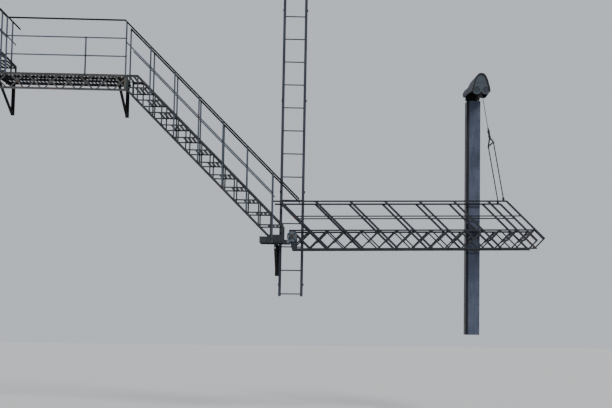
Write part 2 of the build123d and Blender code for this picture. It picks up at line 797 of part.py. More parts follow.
# Cable over the sheaves and down into the case
cable_front_y = front_sheave_y - sheave_radius
cable_back_y = back_sheave_y + sheave_radius
pin_radius = hypot(bridle_pin_x, bridle_pin_z)
pin_angle = atan2(bridle_pin_z, bridle_pin_x) + radians(rest_tilt)
pin_x = pivot_x + pin_radius * cos(pin_angle)
pin_z = pivot_z + pin_radius * sin(pin_angle)
fall_angle = degrees(atan2(pin_x - sheave_x, sheave_height - pin_z))
fall_length = hypot(pin_x - sheave_x, sheave_height - pin_z)
over_sheaves = Plane.YZ * FilletPolyline(
    (cable_back_y, case_top - case_width),
    (cable_back_y, sheave_height + sheave_radius),
    (cable_front_y, sheave_height + sheave_radius),
    (cable_front_y, sheave_height),
    radius=sheave_radius - 0.01,
)
over_sheaves = Pos(sheave_x, 0, 0) * over_sheaves
hoist_cable = sweep(Plane(over_sheaves @ 0, z_dir=over_sheaves % 0) * Circle(cable_radius), over_sheaves)


def along_fall(start, length, radius):
    """A round bar on the line from the bridle's pins to the front sheave."""
    bar = Pos(0, 0, start) * Cylinder(radius, length, align=(Align.CENTER, Align.CENTER, Align.MIN))
    return Pos(pin_x, cable_front_y, pin_z) * (Rot(0, -fall_angle, 0) * bar)


fixed_start = fall_length - (sheave_height - cable_joint_z) / cos(radians(fall_angle))
hoist_cable += along_fall(fixed_start, fall_length - fixed_start, cable_radius)
head_start = fixed_start - cable_head_length
cable_head = along_fall(head_start, cable_head_length, cable_radius)
connector_start = bridle_rod_length + yoke_rise
cable_start = connector_start + connector_length
cable_fall = along_fall(cable_start, head_start - cable_start, cable_radius)


# Bridle: two rods from the stair's handrails to a yoke under the cable
def in_bridle(shape):
    return Pos(pin_x, 0, pin_z) * (Rot(0, -fall_angle, 0) * shape)


rod_rows = [outer_face + bridle_depth, inner_face - bridle_depth]
bridle_rods = []
for row in rod_rows:
    eye = Cylinder(bridle_eye_radius, bridle_eye_thickness, rotation=(90, 0, 0))
    rod = Cylinder(
        bridle_rod_radius, bridle_rod_length, align=(Align.CENTER, Align.CENTER, Align.MIN)
    )
    hole = Cylinder(
        bridle_pin_radius + pivot_clearance, 2 * bridle_eye_thickness, rotation=(90, 0, 0)
    )
    bridle_rods.append(in_bridle(Pos(0, row, 0) * ((eye + rod) - hole)))
yoke_base = bridle_rod_length + bridle_rod_radius
yoke_span = outline(
    (rod_rows[0] - bridle_rod_radius, yoke_base - bridle_rod_radius),
    (rod_rows[1] + bridle_rod_radius, yoke_base - bridle_rod_radius),
    (rod_rows[1] + bridle_rod_radius, yoke_base + bridle_rod_radius),
    (cable_front_y + connector_radius, connector_start),
    (cable_front_y - connector_radius, connector_start),
    (rod_rows[0] - bridle_rod_radius, yoke_base + bridle_rod_radius),
)
yoke_window = outline(
    (rod_rows[0] + 4 * bridle_rod_radius, yoke_base + bridle_rod_radius),
    (rod_rows[1] - 4 * bridle_rod_radius, yoke_base + bridle_rod_radius),
    (cable_front_y, connector_start - 2.5 * bridle_rod_radius),
)
yoke_plane = Plane.YZ.offset(-bridle_rod_radius)
yoke = extrude(
    yoke_plane * (yoke_span - yoke_window), amount=2 * bridle_rod_radius, dir=(1, 0, 0)
)
connector = Pos(0, cable_front_y, connector_start) * Cylinder(
    connector_radius, connector_length, align=(Align.CENTER, Align.CENTER, Align.MIN)
)
bridle_yoke = in_bridle(yoke + connector)


# Swing stair
def in_swing(shapes):
    frame = Pos(pivot_x, 0, pivot_z) * Rot(0, -rest_tilt, 0)
    return [frame * shape for shape in shapes]


toe_top = ((swing_toe + newel_sum + post_width / 2) / 2, (newel_sum + post_width / 2 - swing_toe) / 2)
swing_corners = [
    (0, swing_bottom),
    (swing_toe + swing_bottom, swing_bottom),
    toe_top,
    (newel_sum + post_width / 2 - swing_top, swing_top),
    (-swing_heel, swing_top),
    (-swing_heel, 0),
]
swing_bars = diagonal_bars(
    swing_first_tread,
    swing_tread_count,
    swing_first_bar,
    swing_newel_bar + 1,
    swing_pitch,
    2 * girder_depth,
)
hub_plate = Pos((hub_plate_width - 2 * swing_heel) / 2, (swing_top + swing_bottom) / 2) * clipped_plate(
    hub_plate_width, swing_top - swing_bottom, pivot_plate_corner
)
hub_plate &= outline(*swing_corners)


def swing_girder(side):
    girder = lattice_girder(swing_corners, (0, 3), swing_bars, side, swing_inset, swing_chord_leg)
    girder += on_side(hub_plate, side, swing_inset - post_thickness, post_thickness)
    girder += on_side(Circle(hub_radius), side, 1, swing_inset - 1)
    bore = Circle(pivot_radius + pivot_clearance)
    return girder - on_side(bore, side, -plate_thickness, 4 * chord_leg)


swing_outer_girder = in_swing([swing_girder("outer")])
swing_inner_girder = in_swing([swing_girder("inner")])

swing_treads = []
tread_top = swing_top - nosing_clearance
for i in range(swing_tread_count):
    line = swing_first_tread + i * swing_pitch
    step = Pos(line + tread_top, 0, tread_top) * (Rot(0, -45, 0) * tread(swing_inset + web_depth))
    swing_treads.append(step)
swing_treads = in_swing(swing_treads)

swing_rail_end = newel_sum - swing_rail_z
rail_under = swing_rail_z + rail_height / 2 - flat
post_layer = swing_inset - post_thickness
swing_posts = []
below_rail = level_strip(-swing_toe, 2 * swing_toe, rail_under - swing_toe, 2 * swing_toe)
above_foot = level_strip(-swing_toe, 2 * swing_toe, swing_bottom + swing_toe, 2 * swing_toe)
for i in range(1, swing_newel_bar, post_step):
    at = swing_first_bar + i * swing_pitch
    foot = (at - swing_bottom + swing_post_width, swing_bottom - swing_post_width)
    head = (at - rail_under - swing_post_width, rail_under + swing_post_width)
    bar = strip(foot, head, swing_post_width) & above_foot & below_rail
    swing_posts += both_sides(bar, post_layer, post_thickness)
swing_posts = in_swing(swing_posts)
newel_bar = strip(
    (newel_sum / 2 + swing_toe / 2, newel_sum / 2 - swing_toe / 2),
    (swing_rail_end - post_width, swing_rail_z + post_width),
    swing_post_width,
)
swing_newels = in_swing(both_sides(newel_bar & below_rail, post_layer, post_thickness))


def pin_lug(side):
    """A lug on the handrail with the pin that a bridle rod hangs on."""
    lug_foot = swing_rail_z + rail_height / 2
    lug = outline(
        (bridle_pin_x - bridle_eye_radius, lug_foot),
        (bridle_pin_x + bridle_eye_radius, lug_foot),
        (bridle_pin_x + bridle_eye_radius / 2, bridle_pin_z + bridle_eye_radius),
        (bridle_pin_x - bridle_eye_radius / 2, bridle_pin_z + bridle_eye_radius),
    )
    lug_depth = bridle_depth - bridle_eye_thickness / 2 - 1 - post_thickness
    pin = Pos(bridle_pin_x, bridle_pin_z) * Circle(bridle_pin_radius)
    solid = on_side(lug, side, lug_depth, post_thickness)
    return solid + on_side(pin, side, lug_depth, bridle_eye_thickness + post_thickness + 6)


swing_handrails = []
for side in ("outer", "inner"):
    rail = level_rail(swing_rail_start, swing_rail_end, swing_rail_z, [side], swing_inset)[0]
    swing_handrails.append(rail + pin_lug(side))
swing_handrails = in_swing(swing_handrails)
swing_mid_rails = in_swing(
    both_sides(
        level_strip(swing_mid_rail_start, newel_sum - swing_mid_rail_z, swing_mid_rail_z, mid_rail_width),
        swing_inset,
        flat,
    )
)

nodes = {
    "right_platform_bracket": right_platform_bracket,
    "left_platform_bracket": left_platform_bracket,
    "landing_bracket": landing_bracket,
    "platform_girder": platform_girder,
    "platform_bearers": platform_bearers,
    "platform_deck": platform_deck,
    "platform_posts": platform_posts,
    "platform_top_rail": platform_top_rail,
    "platform_mid_rails": platform_mid_rails,
    "upper_flight_outer_girder": upper_flight_outer_girder,
    "upper_flight_inner_girder": upper_flight_inner_girder,
    "upper_flight_treads": upper_flight_treads,
    "upper_flight_posts": upper_flight_posts,
    "upper_flight_handrails": upper_flight_handrails,
    "upper_flight_mid_rails": upper_flight_mid_rails,
    "flight_outer_girder": flight_outer_girder,
    "flight_inner_girder": flight_inner_girder,
    "flight_treads": flight_treads,
    "flight_posts": flight_posts,
    "flight_handrails": flight_handrails,
    "flight_mid_rails": flight_mid_rails,
    "landing_frame": landing_frame,
    "landing_deck": landing_deck,
    "pivot_plates": pivot_plates,
    "pivot_shaft": pivot_shaft,
    "ladder_rails": ladder_rails,
    "ladder_rungs": ladder_rungs,
    "ladder_standoffs": ladder_standoffs,
    "counterweight_case": counterweight_case,
    "sheave_frame": sheave_frame,
    "sheaves": sheaves,
    "sheave_hood": sheave_hood,
    "hoist_cable": hoist_cable,
    "swing_outer_girder": swing_outer_girder,
    "swing_inner_girder": swing_inner_girder,
    "swing_treads": swing_treads,
    "swing_posts": swing_posts,
    "swing_newels": swing_newels,
    "swing_handrails": swing_handrails,
    "swing_mid_rails": swing_mid_rails,
    "bridle_rods": bridle_rods,
    "bridle_yoke": bridle_yoke,
    "cable_fall": cable_fall,
    "cable_head": cable_head,
}

os.makedirs("parts", exist_ok=True)
for name, shape in nodes.items():
    solids = shape if isinstance(shape, list) else [shape]
    body = Compound(children=[solid for item in solids for solid in item.solids()])
    export_step(body, os.path.join("parts", name + ".step"))
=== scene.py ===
import json
import math

import bmesh
import bpy
from mathutils import Matrix, Vector


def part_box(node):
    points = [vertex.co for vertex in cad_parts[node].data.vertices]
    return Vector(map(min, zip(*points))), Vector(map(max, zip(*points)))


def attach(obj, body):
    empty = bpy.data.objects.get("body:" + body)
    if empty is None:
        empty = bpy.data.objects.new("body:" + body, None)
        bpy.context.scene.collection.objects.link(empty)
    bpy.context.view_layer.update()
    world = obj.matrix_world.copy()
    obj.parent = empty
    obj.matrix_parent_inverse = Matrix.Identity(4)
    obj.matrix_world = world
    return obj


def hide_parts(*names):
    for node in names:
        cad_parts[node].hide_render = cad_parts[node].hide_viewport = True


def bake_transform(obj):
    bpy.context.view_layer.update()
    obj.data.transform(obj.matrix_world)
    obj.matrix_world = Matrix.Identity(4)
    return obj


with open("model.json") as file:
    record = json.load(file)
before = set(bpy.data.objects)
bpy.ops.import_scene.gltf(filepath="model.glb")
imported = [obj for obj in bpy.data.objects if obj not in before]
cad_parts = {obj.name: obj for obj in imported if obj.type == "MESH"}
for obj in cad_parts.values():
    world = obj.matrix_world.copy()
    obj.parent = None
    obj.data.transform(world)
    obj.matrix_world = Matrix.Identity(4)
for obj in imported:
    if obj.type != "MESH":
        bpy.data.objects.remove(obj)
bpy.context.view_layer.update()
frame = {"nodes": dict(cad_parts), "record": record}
nodes = frame["nodes"]
print("frame loaded:", len(nodes), "nodes")

camera = {
    "place": (3.114, -20.0, -3.22),
    "yaw": 3.25,
    "pitch": 4.92,
    "roll": 0.70,
    "lens": 70.82,
    "sensor": 36.0,
    "shift": (-0.124, -0.0128),
    "clipEnd": 200.0,
}
floor = {
    "height": -5.14,
    "middle": 3.0,
    "size": 60.0,
    "color": (0.62, 0.61, 0.59, 1.0),
    "roughness": 0.9,
}
light = {
    "sky": (0.82, 0.87, 0.95, 1.0),
    "strength": 0.72,
    "sun": 2.6,
    "soft": 18.0,
    "tip": 46.0,
    "swing": 34.0,
}


# Node maths: a socket that takes part in Python expressions
class Wire:
    def __init__(self, tree, socket):
        self.tree = tree
        self.socket = socket

    def maths(self, operation, *values):
        node = self.tree.nodes.new("ShaderNodeMath")
        node.operation = operation
        for slot, value in zip(node.inputs, values):
            plug(self.tree, slot, value)
        return Wire(self.tree, node.outputs[0])

    def __add__(self, other):
        return self.maths("ADD", self, other)

    def __radd__(self, other):
        return self.maths("ADD", other, self)

    def __mul__(self, other):
        return self.maths("MULTIPLY", self, other)

    def __rmul__(self, other):
        return self.maths("MULTIPLY", other, self)

    def __sub__(self, other):
        return self.maths("SUBTRACT", self, other)

    def __truediv__(self, other):
        return self.maths("DIVIDE", self, other)

    def smooth(self, low, high):
        node = self.tree.nodes.new("ShaderNodeMapRange")
        node.interpolation_type = "SMOOTHSTEP"
        plug(self.tree, node.inputs["Value"], self)
        node.inputs["From Min"].default_value = low
        node.inputs["From Max"].default_value = high
        return Wire(self.tree, node.outputs["Result"])


def plug(tree, slot, value):
    if isinstance(value, Wire):
        tree.links.new(value.socket, slot)
    else:
        slot.default_value = value


class Nodework:
    def node(self, kind, settings=None, output=0, **values):
        made = self.tree.nodes.new(kind)
        for key, value in (settings or {}).items():
            setattr(made, key, value)
        for key, value in values.items():
            plug(self.tree, made.inputs[key.replace("_", " ")], value)
        return Wire(self.tree, made.outputs[output])

    def part(self, place, output):
        return self.node("ShaderNodeSeparateXYZ", output=output, Vector=place)


# Painted steel: a material built up from noises on the object's own coordinates
class Paintwork(Nodework):
    def __init__(self, name):
        self.material = bpy.data.materials.new(name)
        self.material.use_nodes = True
        self.tree = self.material.node_tree
        self.tree.nodes.clear()

    def noise(self, place, scale, detail, roughness=0.55):
        sizes = {"Scale": scale, "Detail": detail, "Roughness": roughness}
        return self.node("ShaderNodeTexNoise", Vector=place, **sizes)

    def mix(self, amount, first, second):
        made = self.tree.nodes.new("ShaderNodeMix")
        made.data_type = "RGBA"
        plug(self.tree, made.inputs[0], amount)
        plug(self.tree, made.inputs[6], first)
        plug(self.tree, made.inputs[7], second)
        return Wire(self.tree, made.outputs[2])

    def away(self, place, spot):
        made = self.node("ShaderNodeVectorMath", {"operation": "DISTANCE"}, output=1).socket.node
        plug(self.tree, made.inputs[0], place)
        made.inputs[1].default_value = spot
        return Wire(self.tree, made.outputs["Value"])

    def stretched(self, place, sizes):
        return self.node("ShaderNodeMapping", Vector=place, Scale=sizes)

    def finish(self, color, roughness, height, depth, gloss):
        bump = self.node("ShaderNodeBump", Height=height, Distance=depth, Strength=weather["bump"])
        shader = self.node(
            "ShaderNodeBsdfPrincipled",
            Base_Color=color,
            Roughness=roughness,
            Normal=bump,
            Specular_IOR_Level=gloss,
        )
        out = self.tree.nodes.new("ShaderNodeOutputMaterial")
        self.tree.links.new(shader.socket, out.inputs["Surface"])
        return self.material

    # 1 where the place is below the limit, 0 above it
    def below(self, amount, limit, edge):
        return amount.smooth(limit + edge, limit - edge)


# How all the paints wear: the noises' scales, where rust, dust and fading start and end, and how soft
# the edges of the painted shade and of the hood board's colours are
weather = {
    "broad": (2.6, 5.0),
    "fine": (48.0, 6.0, 0.62),
    "grain": (320.0, 3.0, 0.7),
    "runs": (1.0, 5.0, 0.6),
    "runStretch": (34.0, 34.0, 3.2),
    "rustWidth": 0.07,
    "runsEarlier": 0.015,
    "runsShare": 0.55,
    "dust": (0.55, 0.98),
    "fading": (0.38, 0.66),
    "mottling": (0.38, 0.62),
    "boardMottling": (0.40, 0.62),
    "bump": 0.6,
    "edge": 0.001,
    "boardEdge": 0.0002,
    "discEdge": 0.004,
}


def oldPaint(name, look):
    work = Paintwork(name)
    place = work.node("ShaderNodeTexCoord", output=3)
    facing = work.node("ShaderNodeNewGeometry", output=1)
    broad = work.noise(place, *weather["broad"])
    fine = work.noise(place, *weather["fine"])
    grain = work.noise(place, *weather["grain"])
    runs = work.noise(work.stretched(place, weather["runStretch"]), *weather["runs"])
    rustFrom, rustTo = look["rustFrom"], look["rustFrom"] + weather["rustWidth"]
    patch = (broad * 0.62 + fine * 0.38).smooth(rustFrom, rustTo)
    streak = (runs * 0.7 + broad * 0.3).smooth(rustFrom - weather["runsEarlier"], rustTo)
    rust = patch + streak * weather["runsShare"]
    rust = rust.maths("MINIMUM", rust, 1.0)
    dust = work.part(facing, 2).smooth(*weather["dust"]) * look["dust"]
    faded = (broad * 0.5 + runs * 0.5).smooth(*weather["fading"])
    painted = work.mix(faded, look["paint"], look["faded"])
    # Left of a given x the paint takes a second colour: painted shade on the counterweight case, a
    # second tone on the plates
    if "side" in look:
        inLeftShadeAndTone = work.below(work.part(place, 0), look["sideTo"], weather["edge"])
        painted = work.mix(inLeftShadeAndTone, painted, look["side"])
    if "rim" in look:
        depth = work.part(place, 1)
        onBoard = work.below(depth, look["boardTo"], weather["boardEdge"])
        onRim = work.below(depth, look["rimTo"], weather["boardEdge"])
        mottled = fine.smooth(*weather["boardMottling"]) * 0.45
        boardTone = work.mix(mottled, look["board"], look["paint"])
        # Inside each bead the board is painted darker: painted shade of the lobe's curved face
        for spot in look["discs"]:
            size = look["discSize"]
            inDisc = work.away(place, spot).smooth(size, size - weather["discEdge"])
            boardTone = work.mix(inDisc * 0.8, boardTone, look["discShade"])
        painted = work.mix(onBoard, painted, boardTone)
        painted = work.mix(onRim, painted, look["rim"])
    dusty = work.mix(dust * (0.5 + fine), painted, look["dirt"])
    rusty = work.mix(fine.smooth(*weather["mottling"]), look["rustDark"], look["rustBright"])
    color = work.mix(rust, dusty, rusty)
    roughness = look["roughness"] + 0.16 * faded + 0.26 * rust + 0.06 * grain
    height = fine * 0.4 + grain * 0.25 - rust * 0.55
    return work.finish(color, roughness, height, look["depth"], look["gloss"])


darkPaint = {
    "paint": (0.0085, 0.0100, 0.0135, 1.0),
    "faded": (0.0200, 0.0235, 0.0300, 1.0),
    "dirt": (0.060, 0.055, 0.050, 1.0),
    "rustDark": (0.022, 0.012, 0.009, 1.0),
    "rustBright": (0.080, 0.034, 0.017, 1.0),
    "dust": 0.35,
    "rustFrom": 0.595,
    "roughness": 0.46,
    "gloss": 0.25,
    "depth": 0.0012,
}


# A paint like the dark one, but for its two tones, where its rust starts and what else is named
def paintLike(tone, faded, rustFrom, **others):
    return dict(darkPaint, paint=(*tone, 1.0), faded=(*faded, 1.0), rustFrom=rustFrom, **others)


railPaint = paintLike((0.0035, 0.0035, 0.0042), (0.0090, 0.0090, 0.0098), 0.61, gloss=0.15)
girderPaint = paintLike((0.0130, 0.0165, 0.0185), (0.0310, 0.0375, 0.0390), 0.59)
latticePaint = paintLike((0.0380, 0.0385, 0.0360), (0.0800, 0.0780, 0.0720), 0.585)
# Near-black brackets: a dark paint, darkened further as painted shade
bracketPaintAndShade = paintLike((0.0016, 0.0015, 0.0017), (0.0045, 0.0042, 0.0040), 0.61, gloss=0.08)
treadPaint = paintLike((0.0070, 0.0072, 0.0080), (0.0200, 0.0200, 0.0200), 0.58, dust=0.6)
greyPaint = paintLike((0.032, 0.040, 0.054), (0.062, 0.075, 0.098), 0.605)
ladderPaint = paintLike((0.019, 0.022, 0.034), (0.038, 0.044, 0.062), 0.60)
casePaintAndShade = paintLike((0.040, 0.050, 0.080), (0.066, 0.080, 0.118), 0.64, roughness=0.38)
# Painted shade: the case's left side is near-black, and so is a band down the left edge of its front
casePaintAndShade.update(side=(0.0035, 0.0038, 0.0070, 1.0), sideTo=5.677)
platePaint = paintLike((0.055, 0.070, 0.087), (0.095, 0.113, 0.132), 0.60)
platePaint.update(side=girderPaint["paint"], sideTo=2.698)
trimPaint = paintLike((0.040, 0.054, 0.060), (0.064, 0.080, 0.086), 0.595)
rodSteel = paintLike((0.0100, 0.0090, 0.0085), (0.024, 0.021, 0.019), 0.585)
wornSteel = paintLike((0.026, 0.025, 0.025), (0.060, 0.056, 0.052), 0.58)
ropeSteel = paintLike((0.0220, 0.0200, 0.0185), (0.050, 0.045, 0.040), 0.60, depth=0.0004)
hoodPaint = dict(
    darkPaint,
    paint=(0.019, 0.021, 0.033, 1.0),
    faded=(0.034, 0.037, 0.050, 1.0),
    rustFrom=0.62,
    rim=(0.010, 0.0070, 0.0068, 1.0),
    board=(0.046, 0.059, 0.071, 1.0),
    # The darker colour inside each bead is painted shade
    discShade=(0.012, 0.019, 0.027, 1.0),
    discs=((5.719, -0.866, 0.190), (5.863, -0.866, 0.190)),
    discSize=0.050,
    rimTo=-0.8668,
    boardTo=-0.8605,
)

coats = {
    "darkPaint": darkPaint,
    "railPaint": railPaint,
    "girderPaint": girderPaint,
    "latticePaint": latticePaint,
    "bracketPaintAndShade": bracketPaintAndShade,
    "treadPaint": treadPaint,
    "greyPaint": greyPaint,
    "ladderPaint": ladderPaint,
    "casePaintAndShade": casePaintAndShade,
    "platePaint": platePaint,
    "hoodPaint": hoodPaint,
    "trimPaint": trimPaint,
    "rodSteel": rodSteel,
    "wornSteel": wornSteel,
    "ropeSteel": ropeSteel,
}
finishes = {name: oldPaint(name, look) for name, look in coats.items()}

# The finish of each node: by the first words that its name starts with, else by its slot
coatOf = {
    "swing_": "darkPaint",
    "landing_bracket": "bracketPaintAndShade",
    "landing_frame": "girderPaint",
    "right_platform_bracket": "bracketPaintAndShade",
    "left_platform_bracket": "bracketPaintAndShade",
    "platform_top_rail": "railPaint",
    "flight_handrails": "railPaint",
    "upper_flight_handrails": "railPaint",
    "platform_girder": "latticePaint",
    "flight_outer_girder": "girderPaint",
    "flight_inner_girder": "girderPaint",
    "upper_flight_outer_girder": "girderPaint",
    "upper_flight_inner_girder": "girderPaint",
    "ladder_": "ladderPaint",
    "counterweight_case": "casePaintAndShade",
    "sheave_hood": "hoodPaint",
    "bridle_": "rodSteel",
}
coatOfSlot = {
    "dark_painted_steel": "darkPaint",
    "grey_painted_steel": "greyPaint",
    "plate_paint": "platePaint",
    "tread_steel": "treadPaint",
    "worn_steel": "wornSteel",
    "wire_rope": "ropeSteel",
}
slotOf = {entry["node"]: entry["material_slot"] for entry in frame["record"]["subparts"]}
for name, piece in nodes.items():
    named = (coat for start, coat in coatOf.items() if name.startswith(start))
    coat = next(named, coatOfSlot[slotOf[name]])
    piece.data.materials.clear()
    piece.data.materials.append(finishes[coat])
print("finishes:", len(finishes))


# Geometry Nodes: a tree with named sizes, its nodes added by expressions
class Grower(Nodework):
    def __init__(self, name, sizes):
        self.tree = bpy.data.node_groups.new(name, "GeometryNodeTree")
        face = self.tree.interface
        face.new_socket("Geometry", in_out="INPUT", socket_type="NodeSocketGeometry")
        face.new_socket("Geometry", in_out="OUTPUT", socket_type="NodeSocketGeometry")
        for size in sizes:
            face.new_socket(size, in_out="INPUT", socket_type="NodeSocketFloat")
        entry = self.tree.nodes.new("NodeGroupInput")
        self.start = Wire(self.tree, entry.outputs[0])
        self.sizes = {size: Wire(self.tree, entry.outputs[size]) for size in sizes}

    def vector(self, x=0.0, y=0.0, z=0.0):
        return self.node("ShaderNodeCombineXYZ", X=x, Y=y, Z=z)

    def drum(self, radius, height, middle, sides):
        made = self.node("GeometryNodeMeshCylinder", Vertices=sides, Radius=radius, Depth=height)
        return self.node("GeometryNodeTransform", Geometry=made, Translation=self.vector(z=middle))

    def join(self, *parts):
        made = self.tree.nodes.new("GeometryNodeJoinGeometry")
        for part in parts:
            self.tree.links.new(part.socket, made.inputs[0])
        return Wire(self.tree, made.outputs[0])

    def onPoints(self, head):
        vectors, local = {"data_type": "FLOAT_VECTOR"}, {"rotation_space": "LOCAL"}
        facing = self.node("GeometryNodeInputNamedAttribute", vectors, Name="facing")
        turn = self.node("FunctionNodeAlignRotationToVector", {"axis": "Z"}, Vector=facing)
        spin = self.node("FunctionNodeRandomValue", {"data_type": "FLOAT"}, 1)
        dice = spin.socket.node
        dice.inputs[3].default_value = math.tau
        dice.inputs["Seed"].default_value = 11
        own = self.node("FunctionNodeAxisAngleToRotation", Angle=spin)
        both = self.node("FunctionNodeRotateRotation", local, Rotation=turn, Rotate_By=own)
        spots = {"Points": self.start, "Instance": head, "Rotation": both}
        return self.node("GeometryNodeInstanceOnPoints", **spots)

    def finish(self, shape, smooth=True):
        real = self.node("GeometryNodeRealizeInstances", Geometry=shape)
        if smooth:
            real = self.node("GeometryNodeSetShadeSmooth", Geometry=real)
        made = self.tree.nodes.new("GeometryNodeSetMaterial")
        self.tree.links.new(real.socket, made.inputs["Geometry"])
        self.coat = made.inputs["Material"]
        leave = self.tree.nodes.new("NodeGroupOutput")
        self.tree.links.new(made.outputs[0], leave.inputs[0])


# One plain mesh from a tree, its sizes set before it is first evaluated
def grow(grower, name, seed, sizes, finish, body):
    grower.coat.default_value = finish
    shape = bpy.data.objects.new(name, seed)
    bpy.context.scene.collection.objects.link(shape)
    modifier = shape.modifiers.new("grow", "NODES")
    modifier.node_group = grower.tree
    for item in grower.tree.interface.items_tree:
        if item.in_out == "INPUT" and item.name in sizes:
            modifier[item.identifier] = sizes[item.name]
    graph = bpy.context.evaluated_depsgraph_get()
    made = bpy.data.meshes.new_from_object(shape.evaluated_get(graph))
    made.name = name
    shape.modifiers.remove(modifier)
    shape.data = made
    if body:
        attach(shape, body)
    print(name, len(made.polygons), "faces")
    return shape


def seedMesh(name, spots):
    mesh = bpy.data.meshes.new(name)
    mesh.from_pydata([place for place, facing in spots], [], [])
    facings = mesh.attributes.new("facing", "FLOAT_VECTOR", "POINT")
    for entry, (place, facing) in zip(facings.data, spots):
        entry.vector = facing
    return mesh


# Places on the stair, read from the frame
lowDeck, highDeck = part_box("platform_deck")
lowLanding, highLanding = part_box("landing_deck")
outerGirder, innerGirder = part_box("flight_outer_girder"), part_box("flight_inner_girder")
faces = {"outer": (outerGirder[0].y, -1.0), "inner": (innerGirder[1].y, 1.0)}
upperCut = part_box("upper_flight_outer_girder")[0].x
shaftLow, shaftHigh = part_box("pivot_shaft")
pivot = (shaftLow + shaftHigh) / 2
root2 = math.sqrt(2.0)

stair = {
    "riser": 0.195,
    "risers": 13,
    "girderDepth": 0.308,
    "chordLeg": 0.032,
    "barWidth": 0.022,
    "plate": 0.006,
    "postPlate": 0.008,
    "wallPlate": 0.010,
    "railOffset": 0.458,
    "midRailOffset": 0.229,
    "posts": 6,
    "postWidth": 0.025,
    "cornerPost": 0.100,
    "newel": 2.466,
    "farShift": -0.032,
    "bearing": 0.010,
    "cleat": 0.011,
    "treadHoles": (0.050, 0.185),
    "noseGap": 0.014,
    "footRise": 0.012,
    "footBolt": 0.050,
    "railBolt": 0.006,
    "clear": 0.020,
}
upper = {"firstPost": -1.855, "posts": 3, "railTurn": -1.775, "guard": 0.875, "treads": 6}
platform = {"bay": 0.270, "bays": 12, "middlePost": -0.536}
swing = {
    "tilt": math.radians(1.0),
    "top": 0.110,
    "bottom": -0.208,
    "chordLeg": 0.025,
    "inset": 0.022,
    "firstTread": 0.184,
    "firstBar": 0.107,
    "treads": 14,
    "newelShift": 0.022,
    "rail": 0.560,
    "midRail": 0.322,
    "railBolt": 0.003,
    "cleat": 0.002,
    "heelClear": 0.120,
    "toeClear": 4.060,
    "bridlePin": (3.385, 0.6045, 0.028, 0.058),
}
deckZ = highDeck.z
bearingZ = deckZ - stair["bearing"]
landingZ = highLanding.z
noseSum = highDeck.x + deckZ
bottomSum = noseSum - stair["girderDepth"] * root2
handrailSum = noseSum + stair["railOffset"] * root2
midRailSum = noseSum + stair["midRailOffset"] * root2
upperRailSum = upper["railTurn"] + deckZ + upper["guard"]
upperNoseSum = upperRailSum - stair["railOffset"] * root2
upperBottomSum = upperNoseSum - stair["girderDepth"] * root2
upperMidSum = upperNoseSum + stair["midRailOffset"] * root2
swingPitch = stair["riser"] * root2
newelSum = swing["firstBar"] + swing["treads"] * swingPitch + swing["newelShift"]


def across(side, depth):
    face, out = faces[side]
    return face - out * depth


# Where rivets and bolts sit: (place, the way the head points), one list for each body
rivets = {"fixed_stair": [], "swing_stair": []}
bolts = {"fixed_stair": [], "swing_stair": []}


def place(spots, body, side, x, z, depth, outward=True):
    facing = Vector((0.0, faces[side][1] * (1.0 if outward else -1.0), 0.0))
    if body == "swing_stair":
        turn = Matrix.Rotation(-swing["tilt"], 3, "Y")
        point = turn @ Vector((x, 0.0, z)) + Vector((pivot.x, across(side, depth), pivot.z))
    else:
        point = Vector((x, across(side, depth), z))
    spots[body].append((point, facing))


def apart(points, gap=0.02):
    kept = []
    for point in points:
        if all(math.hypot(point[0] - other[0], point[1] - other[1]) > gap for other in kept):
            kept.append(point)
    return kept


# Rivets of a lattice: on the chords' faces, and on both faces where bars cross
def rivetLattice(body, sides, depth, chordPoints, crossings):
    plate = stair["plate"]
    for side in sides:
        for x, z in chordPoints:
            place(rivets, body, side, x, z, depth)
            place(rivets, body, side, x, z, depth + 2 * plate, outward=False)
        for x, z in crossings:
            place(rivets, body, side, x, z, depth + plate)
            place(rivets, body, side, x, z, depth + 2 * plate, outward=False)


# A flight at 45 degrees, with upright and level bars
def rivetFlight(uprights, levels, lowSum, highSum, inside):
    chordIn = stair["chordLeg"] / root2
    low, high = lowSum + chordIn, highSum - chordIn
    onChords = [(x, edge - x) for x in uprights for edge in (low, high)]
    onChords += [(edge - z, z) for z in levels for edge in (low, high)]
    off = 0.030  # a crossing this near to a chord has no rivet of its own
    crossings = [(x, z) for x in uprights for z in levels if low + off < x + z < high - off]
    rivetLattice(
        "fixed_stair",
        ("outer", "inner"),
        0.0,
        [point for point in apart(onChords) if inside(*point)],
        [point for point in crossings if inside(*point)],
    )


def rivetSwing():
    leg = swing["chordLeg"] / 2
    rising = [swing["firstTread"] + i * swingPitch for i in range(swing["treads"])]
    falling = [swing["firstBar"] + i * swingPitch for i in range(swing["treads"] + 1)]
    heel = swing["heelClear"]
    onChords, crossings = [], []
    for z in (swing["top"] - leg, swing["bottom"] + leg):
        onChords += [(line + z, z) for line in rising] + [(line - z, z) for line in falling]
    for up in rising:
        for down in falling:
            x, z = (up + down) / 2, (down - up) / 2
            if swing["bottom"] + 2 * leg < z < swing["top"] - 2 * leg and x > heel:
                crossings.append((x, z))
    inside = [
        (x, z)
        for x, z in apart(onChords)
        if x > heel and x + z < newelSum and x - z < swing["toeClear"]
    ]
    rivetLattice("swing_stair", ("outer", "inner"), swing["inset"], inside, crossings)


